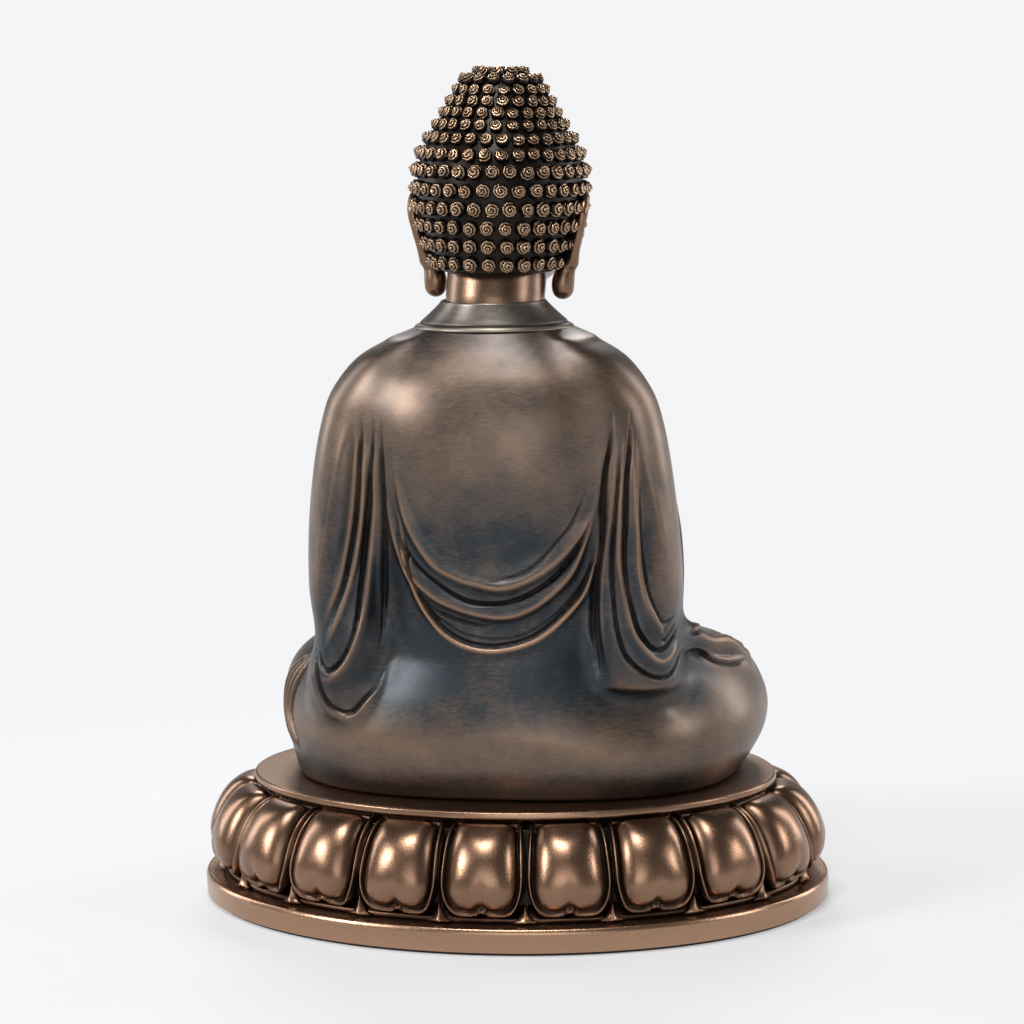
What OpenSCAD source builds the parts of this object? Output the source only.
// Seated Buddha on an oval lotus pedestal.
// Millimetres, +Z up. The figure faces -Y and its left hand is on the +X side.
// The origin is the middle of the pedestal's footprint, on the surface it stands on.

/* [Pedestal] */
// Width of the plinth, from side to side
base_w = 190; // [180:1:200]
// Depth of the plinth, from front to back
base_d = 146; // [140:1:156]
// Height of the seat, where the figure rests
seat_z = 38; // [36:0.5:40]
// Thickness of the seat plate
seat_t = 5; // [4:0.5:6]
// Distance from the plinth's edge in to the seat plate's edge
seat_inset = 15.5; // [14:0.5:17]
// Top of the plinth
plinth_top = 8; // [7:0.5:9]
// Thickness of the felt under the plinth
felt_t = 1; // [0.8:0.1:1.5]
// Number of petals in the ring
petal_count = 20; // [16:2:24]
// Turn of the petal ring, in petals
petal_shift = 0.11; // [0:0.01:0.5]

/* [Figure] */
// Half width across the knees
knee_half = 73; // [70:1:74]
// Half width across the sleeves, at the elbows
elbow_half = 56; // [54:1:57]
// Distance of the trunk's axis behind the pedestal's middle
trunk_y = 20; // [18:1:22]
// Height of the collar's top edge, where the neck comes out
collar_z = 181; // [179:1:183]
// Radius of the neck
neck_r = 14.5; // [14:0.5:15.5]

/* [Head] */
// Half width of the skull under the curls
skull_half = 23.5; // [22:0.5:25]
// Height of the middle of the skull
skull_z = 210; // [208:1:212]
// Height of the top of the crown jewel
total_h = 249; // [247:1:252]
// Lean of the head to its right, in degrees
head_lean = 1.3; // [0:0.1:2]
// How far the foot of the neck stands to the figure's right
head_shift = 0.3; // [0:0.1:0.5]
// Height of one snail curl above the scalp
curl_h = 2.4; // [2:0.1:3]

/* [Hardware] */
// Radius of the bolt that holds the figure on the seat
bolt_r = 3; // [2.5:0.5:3]
// Radius of the dowel in the neck
dowel_r = 3; // [2.5:0.5:4]
// Radius of the two pins that stop the figure turning
pin_r = 2; // [1.5:0.5:2.5]
// Clearance of a pin or bolt in its hole
fit_gap = 0.1; // [0.05:0.05:0.2]

/* [Hidden] */

plinth_a = base_w / 2;
plinth_b = base_d / 2;
seat_a = plinth_a - seat_inset;
seat_b = plinth_b - seat_inset;
core_top = seat_z - seat_t;
bolt_y = 12;
pin_x = 34;
board_z0 = felt_t;
board_t = 3;
screw_r = 1.5;
screw_grip = 3;
board_inset = 8;
ledge = 18;
screw_inset = 13;
floor_t = 12;
nut_h = 5;
nut_af = 10;
washer_t = 1.5;
washer_r = 6.5;
head_y = 11;
seam_z = 78;
rim_steps = 96;

// ---- Helpers --------------------------------------------------------------------------------

function sgn_pow(v, p) = sign(v) * pow(abs(v), p);

// Smooth value between p1 and p2 at t, with p0 and p3 as the neighbours on either side.
function spline(p0, p1, p2, p3, t) =
    0.5 * (2 * p1 + (p2 - p0) * t + (2 * p0 - 5 * p1 + 4 * p2 - p3) * t * t
           + (3 * p1 - p0 - 3 * p2 + p3) * t * t * t);

// A table of sections with steps - 1 smooth sections put in between each pair.
function smooth(rows, steps) = [
    for (i = [0 : len(rows) - 2], k = [0 : steps - 1])
        spline(rows[max(i - 1, 0)], rows[i], rows[i + 1], rows[min(i + 2, len(rows) - 1)], k / steps),
    rows[len(rows) - 1]
];

function ellipse_points(a, b, n = rim_steps) = [for (i = [0 : n - 1]) [a * cos(360 * i / n), b * sin(360 * i / n)]];

// Level ring round the body. s = [height, half width, front y, widest y, back y, exponent, middle x].
function level_ring(s, n) = [
    for (i = [0 : n - 1])
        let (t = 360 * i / n, e = 2 / s[5], side = sin(t) > 0 ? s[4] - s[3] : s[3] - s[2])
        [s[1] * sgn_pow(cos(t), e) + (len(s) > 6 ? s[6] : 0), s[3] + side * sgn_pow(sin(t), e), s[0]]
];

function unit(v) = v / norm(v);

// Ring across a path. s = [x, y, z, half width, half height].
function path_ring(s, along, n) =
    let (side = unit(cross([0, 0, 1], along)), up = cross(along, side))
    [for (i = [0 : n - 1]) [s[0], s[1], s[2]] + side * s[3] * cos(360 * i / n) + up * s[4] * sin(360 * i / n)];

function path_rings(rows, n) = [
    for (i = [0 : len(rows) - 1])
        let (a = rows[max(i - 1, 0)], b = rows[min(i + 1, len(rows) - 1)])
        path_ring(rows[i], unit([b[0] - a[0], b[1] - a[1], b[2] - a[2]]), n)
];

// Closed skin over a stack of rings, each with the same number of points.
module skin(rings) {
    n = len(rings[0]);
    m = len(rings);
    polyhedron(
        points = [for (r = rings) each r],
        faces = [
            [for (i = [0 : n - 1]) i],
            [for (i = [0 : n - 1]) m * n - 1 - i],
            for (j = [0 : m - 2], i = [0 : n - 1]) let (k = (i + 1) % n)
                each [[j * n + i, j * n + n + i, j * n + k], [j * n + k, j * n + n + i, j * n + n + k]]
        ]);
}

module level_skin(rows, n = 40, steps = 2) skin([for (s = smooth(rows, steps)) level_ring(s, n)]);

module path_skin(rows, n = 20, steps = 2) skin(path_rings(smooth(rows, steps), n));

// Joins and cuts skins into one closed skin, so that bores are drilled afterwards as true cylinders.
module one_skin() resize([0, 0, 0]) union() children();

// ---- Pedestal -------------------------------------------------------------------------------

module oval_plate(a, b, z, h) translate([0, 0, z]) linear_extrude(h) polygon(ellipse_points(a, b));

// Oval plate with its outer edge rounded, above and below.
module rounded_oval(a, b, z, h, r, n = 48) {
    steps = 2;
    lower = [for (k = [0 : steps]) let (t = 90 * k / steps) [r - r * sin(t), r - r * cos(t)]];
    upper = [for (k = [0 : steps]) let (t = 90 * k / steps) [r - r * cos(t), h - r + r * sin(t)]];
    skin([for (e = concat(lower, upper)) level_ring([z + e[1], a - e[0], e[0] - b, 0, b - e[0], 2], n)]);
}

module felt_pad() color("#3b3733") oval_plate(plinth_a - 2, plinth_b - 2, 0, felt_t);

module closing_board()
    color("#8a6f4d")
    difference() {
        oval_plate(plinth_a - board_inset, plinth_b - board_inset, board_z0, board_t);
        at_board_screws() translate([0, 0, board_z0 - 1]) cylinder(h = board_t + 2, r = screw_r + fit_gap, $fn = 32);
    }

module at_board_screws()
    for (sx = [-1, 1], sy = [-1, 1])
        translate([sx * (plinth_a - screw_inset) * cos(45), sy * (plinth_b - screw_inset) * sin(45), 0]) children();

module board_screws()
    color("#b9b3a6")
    at_board_screws() translate([0, 0, board_z0]) {
        cylinder(h = board_t, r = screw_r, $fn = 32);
        translate([0, 0, board_t]) cylinder(h = screw_grip, r1 = screw_r, r2 = screw_r / 4, $fn = 32);
    }

module plinth()
    color("#6d5443")
    difference() {
        oval_plate(plinth_a, plinth_b, felt_t, plinth_top - felt_t);
        oval_plate(plinth_a - ledge, plinth_b - ledge, 0, plinth_top + 1);
        oval_plate(plinth_a - board_inset + fit_gap, plinth_b - board_inset + fit_gap, 0, board_z0 + board_t);
        at_board_screws() cylinder(h = board_z0 + board_t + screw_grip, r = screw_r, $fn = 32);
    }

// Drum behind the petals, which carries the seat plate.
module lotus_core()
    color("#5f493a")
    difference() {
        oval_plate(petal_line_a, petal_line_b, plinth_top, core_top - plinth_top);
        oval_plate(petal_line_a - core_wall, petal_line_b - core_wall, plinth_top - 1, core_top - plinth_top + 2);
    }

// Places along an oval at equal arc lengths: [point, direction outwards in degrees].
function oval_step(a, b, t, dt) = norm([a * cos(t + dt) - a * cos(t), b * sin(t + dt) - b * sin(t)]);
function oval_walk(a, b, n = 720) = [
    for (i = 0, s = 0; i <= n; s = s + oval_step(a, b, 360 * i / n, 360 / n), i = i + 1) s
];
function oval_angle(walk, share) =
    let (s = share * walk[len(walk) - 1], i = len([for (w = walk) if (w <= s) 1]) - 1, n = len(walk) - 1)
    360 * (i + (i < n ? (s - walk[i]) / (walk[i + 1] - walk[i]) : 0)) / n;
function oval_places(a, b, count, phase) = let (walk = oval_walk(a, b)) [
    for (k = [0 : count - 1])
        let (share = (k + phase) / count, t = oval_angle(walk, share - floor(share)))
        [[a * cos(t), b * sin(t)], atan2(a * sin(t), b * cos(t))]
];

petal_line_a = plinth_a - 15;
petal_line_b = plinth_b - 15;
core_wall = 9;
petal_h = core_top - plinth_top;
petal_out = 12;
petal_gap = 0.5;
petal_fan = 0.009;

// One petal as a closed pillow, standing on y = 0 and swelling towards +y. It fans out as it swells.
module petal_pillow(w, h, out, n = 5) {
    function lift(u, v) = 1 + out * sqrt(1 - pow(abs(u), 3)) * (0.3 + 0.7 * sin(180 * pow(1 - v, 1.35)));
    function across(u, v) = w / 2 * u * (0.86 + 0.14 * sin(180 * pow(1 - v, 1.2)));
    front = [for (j = [0 : n], i = [-n : 2 : n]) let (u = i / n, v = j / n, y = lift(u, v))
             [across(u, v) * (1 + petal_fan * y), y, h * v]];
    back = [for (j = [0 : n], i = [-n : 2 : n]) let (u = i / n, v = j / n) [across(u, v), 0, h * v]];
    c = n + 1;
    s = c * c;
    polyhedron(points = concat(front, back), faces = [
        for (j = [0 : n - 1], i = [0 : n - 1]) let (p = j * c + i)
            each [[p, p + c, p + 1], [p + 1, p + c, p + c + 1],
                  [s + p, s + p + 1, s + p + c], [s + p + 1, s + p + c + 1, s + p + c]],
        for (i = [0 : n - 1]) let (p = i, q = n * c + i)
            each [[p, p + 1, s + p], [p + 1, s + p + 1, s + p], [q, s + q, q + 1], [q + 1, s + q, s + q + 1]],
        for (j = [0 : n - 1]) let (p = j * c, q = j * c + n)
            each [[p, s + p, p + c], [p + c, s + p, s + p + c], [q, q + c, s + q], [q + c, s + q + c, s + q]]
    ]);
}

petal_walk = oval_walk(petal_line_a, petal_line_b);
petal_w = petal_walk[len(petal_walk) - 1] / petal_count - petal_gap;

module lotus_petals()
    color("#80624c")
    for (p = oval_places(petal_line_a, petal_line_b, petal_count, petal_shift))
        translate([p[0][0], p[0][1], plinth_top]) rotate(p[1] - 90) petal_pillow(petal_w, petal_h, petal_out);

// Small keeled tips that show between the petals' feet.
tip_inset = 5;
tip_h = 6;
module petal_tip()
    polyhedron(
        points = [[-4.5, 0, 0], [4.5, 0, 0], [0, 3.2, 0], [0, 0, tip_h], [0, 1.6, tip_h - 2]],
        faces = [[0, 1, 2], [0, 3, 1], [0, 2, 4], [0, 4, 3], [1, 4, 2], [1, 3, 4]]);

module petal_tips()
    color("#7a5d48")
    for (p = oval_places(plinth_a - tip_inset, plinth_b - tip_inset, petal_count, petal_shift + 0.5))
        translate([p[0][0], p[0][1], plinth_top]) rotate(p[1] - 90) petal_tip();

module seat_plate()
    color("#6b5242")
    difference() {
        rounded_oval(seat_a, seat_b, core_top, seat_t, 2);
        translate([0, bolt_y, core_top - 1]) cylinder(h = seat_t + 2, r = bolt_r + fit_gap, $fn = 48);
        at_seat_pins() translate([0, 0, seat_z - 4]) cylinder(h = 5, r = pin_r, $fn = 48);
    }

// ---- Hardware inside ------------------------------------------------------------------------

module at_seat_pins() for (sx = [-1, 1]) translate([sx * pin_x, bolt_y, 0]) children();

module seat_pins()
    color("#9c9c98")
    at_seat_pins() translate([0, 0, seat_z - 4]) cylinder(h = 10, r = pin_r, $fn = 48);

module figure_bolt()
    color("#a9a9a4")
    translate([0, bolt_y, 0]) {
        translate([0, 0, core_top - washer_t - 4]) cylinder(h = 4, r = nut_af / 2 / cos(30), $fn = 6);
        translate([0, 0, core_top - washer_t]) cylinder(h = seat_z + floor_t + washer_t + nut_h + 2 - core_top + washer_t, r = bolt_r, $fn = 48);
    }

module bolt_washers()
    color("#b5b5b0")
    for (z = [core_top - washer_t, seat_z + floor_t])
        translate([0, bolt_y, z]) difference() {
            cylinder(h = washer_t, r = washer_r, $fn = 48);
            translate([0, 0, -1]) cylinder(h = washer_t + 2, r = bolt_r + fit_gap, $fn = 48);
        }

module bolt_nut()
    color("#a9a9a4")
    translate([0, bolt_y, seat_z + floor_t + washer_t]) difference() {
        cylinder(h = nut_h, r = nut_af / 2 / cos(30), $fn = 6);
        translate([0, 0, -1]) cylinder(h = nut_h + 2, r = bolt_r, $fn = 48);
    }

module neck_dowel()
    color("#9c9c98")
    translate([0, trunk_y - 2, collar_z - 20]) cylinder(h = 30, r = dowel_r, $fn = 48);

// ---- Figure ---------------------------------------------------------------------------------

// Rows: [height, half width, front y, widest y, back y, exponent, middle x (0 if left out)].
LEGS = [
    [seat_z, knee_half - 6.5, -47, -6, 45, 2.5],
    [seat_z + 6, knee_half - 3.4, -50, -11, 48, 2.45],
    [seat_z + 12, knee_half - 0.8, -51.5, -15, 49.5, 2.4],
    [seat_z + 20, knee_half + 0.4, -50.5, -18, 49.5, 2.35],
    [seat_z + 29, knee_half - 2.5, -47, -19, 48.5, 2.3],
    [seat_z + 35, knee_half - 6.5, -44, -19, 47, 2.25],
    [seat_z + 38, knee_half - 11, -42, -17, 45.5, 2.2],
    [seam_z + 0.5, knee_half - 20, -38, -12, 43.5, 2.2]
];

TORSO = [
    [seam_z - 12, 38, -16, 14, 47.2, 2.1],
    [seam_z + 2, 39, -17, 14, 46.6, 2.1],
    [100, 38, -15, 16, 47.3, 2.1],
    [118, 38, -11, 18, 48.5, 2.2],
    [134, 40, -7, 20, 49.5, 2.3],
    [148, 41, -3, 21, 48.5, 2.3],
    [158, 40, 0, 21, 45.5, 2.2],
    [165, 35.5, 1.5, 20, 42, 2.1],
    [170, 29, 2.5, 19, 39, 2.05],
    [collar_z - 7, 22, 2, 18.5, 36.5, 2.0]
];
TORSO_TOP = TORSO[len(TORSO) - 1][0];

// Left arm in its sleeve, from the hem that hangs behind the thigh up to the shoulder.
function sleeve(hem_z) = [
    [hem_z, 8, 20, 30, 40, 2.0, elbow_half - 10],
    [hem_z + 5, 12, 12, 28, 43, 2.1, elbow_half - 10],
    [71, 14, 4, 26, 44, 2.2, elbow_half - 11],
    [84, 13.8, 0, 25, 43, 2.2, elbow_half - 12.6],
    [98, 13.5, 3, 24, 41, 2.2, elbow_half - 13.5],
    [116, 13.7, 7, 24, 40, 2.1, elbow_half - 15],
    [134, 14.2, 9, 24, 40, 2.1, elbow_half - 17.5],
    [147, 14.2, 10, 23, 39, 2.1, elbow_half - 20],
    [156, 13.4, 10, 23, 38, 2.0, elbow_half - 22.5],
    [165, 10.4, 11, 22, 36, 2.0, elbow_half - 27],
    [170, 6, 14, 21, 33, 2.0, elbow_half - 32]
];

// Left forearm in its sleeve: [x, y, z, half width, half height].
FOREARM = [
    [elbow_half - 15, 18, 90, 12, 12],
    [38, 2, 88, 12, 12],
    [29, -12, 87, 10, 10.5],
    [20, -22, 86, 8, 8.5],
    [17.5, -24.5, 86, 7, 7.5]
];

// The right sleeve ends a little higher than the left one.
module sleeves() {
    level_skin(sleeve(54), 24, 2);
    mirror([1, 0, 0]) level_skin(sleeve(62), 24, 2);
}

module both_sides() {
    children();
    mirror([1, 0, 0]) children();
}

// The hollow is one skin through both castings.
module figure_hollow()
    level_skin([
        [seat_z + floor_t, 46, -26, -4, 34, 2.2],
        [seat_z + 26, 50, -30, -8, 38, 2.2],
        [seam_z - 4, 38, -20, -2, 36, 2.2],
        [seam_z + 8, 30, -10, 12, 37, 2.1],
        [110, 29, -5, 16, 39, 2.1],
        [138, 31, 1, 20, 40, 2.1],
        [154, 22, 8, 21, 35, 2.0]
    ], 28, 2);

// Everything under the seam, and everything over it.
module below_seam() translate([-100, -100, 0]) cube([200, 200, seam_z]);
module above_seam() translate([-100, -100, seam_z]) cube([200, 200, 200]);

module crossed_legs()
    color("#4b4644")
    difference() {
        one_skin() difference() {
            intersection() {
                union() {
                    level_skin(LEGS, 44, 2);
                    sleeves();
                }
                below_seam();
            }
            figure_hollow();
        }
        translate([0, bolt_y, seat_z - 1]) cylinder(h = floor_t + 2, r = bolt_r + fit_gap, $fn = 48);
        at_seat_pins() translate([0, 0, seat_z - 1]) cylinder(h = 7, r = pin_r, $fn = 48);
    }

module robed_torso()
    color("#4f4a47")
    difference() {
        one_skin() difference() {
            intersection() {
                union() {
                    level_skin(TORSO, 40, 2);
                    sleeves();
                    both_sides() path_skin(FOREARM, 20, 2);
                }
                above_seam();
            }
            hand_shape(0);
            mirror([1, 0, 0]) hand_shape(hand_lift);
            figure_hollow();
        }
        translate([0, trunk_y - 2, collar_z - 20]) cylinder(h = 30, r = dowel_r, $fn = 48);
    }

// Folded edge of the under-robe, round the root of the neck.
module robe_collar()
    color("#8d8378")
    one_skin() difference() {
        level_skin([
            [TORSO_TOP, 21.5, 2.5, 18.5, 36, 2.0],
            [TORSO_TOP + 3, 18.8, 3, 18.5, 35, 2.0],
            [collar_z, 16, 3.2, 18.5, 34.2, 2.0]
        ], 36, 1);
        level_skin([
            [TORSO_TOP - 1, neck_r, NECK_Y - neck_r, NECK_Y, NECK_Y + neck_r, 2],
            [collar_z + 1, neck_r, NECK_Y - neck_r, NECK_Y, NECK_Y + neck_r, 2]
        ], 36, 1);
    }

// Hand lying palm up in the lap: wrist and palm, four fingers side by side and the thumb.
// lift raises the palm, so that one hand lies on the other.
hand_y = -29;
finger_gap = 4.2;
hand_lift = 6;
module hand_shape(lift) one_skin() {
    path_skin([
        [19, hand_y + 7, 86, 4, 3.6], [14, hand_y + 3, 84 + lift * 0.7, 6.5, 4],
        [8, hand_y, 82.5 + lift, 9.4, 4], [0, hand_y - 1, 82 + lift, 9.2, 3.6], [-5, hand_y - 1, 82 + lift, 8, 2.6]
    ], 16, 2);
    for (k = [0 : 3]) let (y = hand_y - 7.2 + finger_gap * k, z = 82 + lift)
        path_skin([[1, y, z, 1.9, 1.7], [-10, y, z + 0.6, 1.9, 1.9], [-17, y, z + 0.8, 1.7, 1.7], [-19.5, y, z + 0.8, 0.8, 0.8]], 10, 1);
    path_skin([
        [10, hand_y - 6.5, 83 + lift, 2.4, 1.9], [6.5, hand_y - 9, 87.3 + lift / 2, 2.5, 2.4],
        [2.5, hand_y - 9.6, 92, 2.1, 2.1], [0.6, hand_y - 9.6, 93, 1.1, 1.1]
    ], 10, 1);
}

module left_hand() color("#7d6350") hand_shape(0);
module right_hand()
    color("#826752")
    one_skin() difference() {
        mirror([1, 0, 0]) hand_shape(hand_lift);
        hand_shape(0);
    }

// ---- Head -----------------------------------------------------------------------------------

NECK_Y = trunk_y - 1;
SKULL = [
    [TORSO_TOP + 0.1, neck_r, NECK_Y - neck_r, NECK_Y, NECK_Y + neck_r, 2.0],
    [collar_z - 1, neck_r, NECK_Y - neck_r, NECK_Y, NECK_Y + neck_r, 2.0],
    [183.5, neck_r + 0.2, -6, 15, NECK_Y + neck_r + 0.2, 2.0],
    [185.5, 16, -12.5, 10, 33.6, 2.0],
    [190, 18.5, -15.5, 8, 34, 2.05],
    [197, 21.5, -17.5, 8, 35, 2.1],
    [skull_z - 4, skull_half - 0.6, -18.5, 9, 36, 2.1],
    [skull_z + 4, skull_half, -18, 10, 36, 2.1],
    [skull_z + 12, skull_half - 1.5, -14.5, 11, 34.5, 2.05],
    [skull_z + 18, skull_half - 6, -8, 12, 30, 2.0]
];

// The head leans a little to its right, about the foot of the neck.
module leaning()
    translate([-head_shift, 0, TORSO_TOP]) rotate([0, -head_lean, 0]) translate([0, 0, -TORSO_TOP]) children();

module head()
    color("#7d6350")
    difference() {
        leaning() level_skin(SKULL, 36, 2);
        translate([0, trunk_y - 2, collar_z - 20]) cylinder(h = 30, r = dowel_r, $fn = 48);
    }

EAR = [
    [skull_half - 0.8, 10, 211, 4.5, 1.6],
    [skull_half + 0.2, 11.5, 208, 5.0, 1.8],
    [skull_half - 0.4, 11.5, 202, 4.6, 1.8],
    [skull_half - 2.4, 12, 195, 3.2, 2.2],
    [skull_half - 4.0, 12, 188, 3.2, 2.8],
    [skull_half - 4.6, 12, 184, 3.2, 3.0],
    [skull_half - 4.8, 12, 181.5, 1.4, 1.6]
];

// Rings across an ear stay level, long from front to back and thin from side to side.
module ear_shape()
    skin([for (k = [len(EAR) - 1 : -1 : 0]) let (s = EAR[k])
        [for (i = [0 : 15]) [s[0] + s[4] * cos(22.5 * i), s[1] + s[3] * sin(22.5 * i), s[2]]]]);

module left_ear()
    color("#7d6350")
    one_skin() leaning() difference() {
        ear_shape();
        level_skin(SKULL, 36, 2);
    }
module right_ear()
    color("#7d6350")
    one_skin() leaning() difference() {
        mirror([1, 0, 0]) ear_shape();
        level_skin(SKULL, 36, 2);
    }

// Scalp rows: [height, radius to the side, radius front to back, middle y].
SCALP = [
    [189, 17.4, 24, head_y], [196, 19.9, 25.4, head_y], [204, 22.9, 26.4, head_y], [212, 23.9, 26.6, head_y],
    [218, 24, 25.8, head_y], [223, 22.8, 24, head_y], [227, 21, 21.8, head_y], [230.5, 18.6, 19.2, head_y],
    [234, 16.4, 17, head_y], [238, 14.3, 14.8, head_y], [241.5, 12.2, 12.8, head_y], [244.6, 9.6, 10, head_y], [246, 7, 7, head_y]
];
HAIRLINE_Z = 189;

// Cap of hair: the scalp shell, open in front for the face.
module hair_cap()
    color("#3e3a38")
    one_skin() leaning() difference() {
        level_skin([for (s = SCALP) [s[0], s[1], s[3] - s[2], s[3], s[3] + s[2], 2]], 40, 1);
        level_skin(SKULL, 36, 2);
        // The face's opening, in front of the ears and under the forehead's hairline
        translate([-40, -36, 180]) cube([80, 40, 37]);
        ear_shape();
        mirror([1, 0, 0]) ear_shape();
    }

// The curls sit in level rows, each turned half a place from the row below.
CURL_ROWS = [192.6, 197.8, 203, 208.2, 213.4, 218.5, 223.2, 227.5, 231.4, 234.9, 238.2, 241.4, 244.4];
SMALL_CURLS_Z = 229;
curl_pitch = 5;
function scalp_at(z) = let (below = [for (s = smooth(SCALP, 8)) if (s[0] <= z) s]) below[len(below) - 1];

// Curls in front of the ears start at the temple, and higher still over the forehead.
function is_hair(y, z) = y > 5 || z > 217;

module curl(size) cylinder(h = curl_h * size, r1 = 2.25 * size, r2 = 0.9 * size, $fn = 24);

module hair_curls()
    color("#57483c")
    leaning() for (row = [0 : len(CURL_ROWS) - 1]) {
        z = CURL_ROWS[row];
        s = scalp_at(z);
        upper = scalp_at(z + 1.5);
        size = z < SMALL_CURLS_Z ? 1 : 0.8;
        count = max(5, round(180 * (s[1] + s[2]) / 57.3 / (curl_pitch * size)));
        tilt = atan2(s[1] - upper[1], upper[0] - s[0] + 0.01);
        for (k = [0 : count - 1]) {
            turn = 360 * (k + (row % 2) / 2) / count;
            place = [s[1] * cos(turn), s[3] + s[2] * sin(turn), z];
            if (is_hair(place[1], z))
                translate(place) rotate([0, 0, turn]) rotate([0, 90 - tilt, 0]) translate([0, 0, 0.2]) curl(size);
        }
    }

module crown_jewel()
    color("#8f8a84")
    leaning() translate([0, head_y + 1, total_h - 4]) intersection() {
        sphere(r = 4, $fn = 48);
        translate([-5, -5, 1]) cube([10, 10, 5]);
    }

module urna()
    color("#9a7d62")
    leaning() translate([0, -18.6, 211]) rotate([90, 0, 0]) cylinder(h = 0.8, r1 = 1.3, r2 = 0.7, $fn = 32);

felt_pad();
closing_board();
board_screws();
plinth();
lotus_core();
lotus_petals();
petal_tips();
seat_plate();
seat_pins();
figure_bolt();
bolt_washers();
bolt_nut();
crossed_legs();
robed_torso();
robe_collar();
left_hand();
right_hand();
neck_dowel();
head();
left_ear();
right_ear();
hair_cap();
hair_curls();
crown_jewel();
urna();
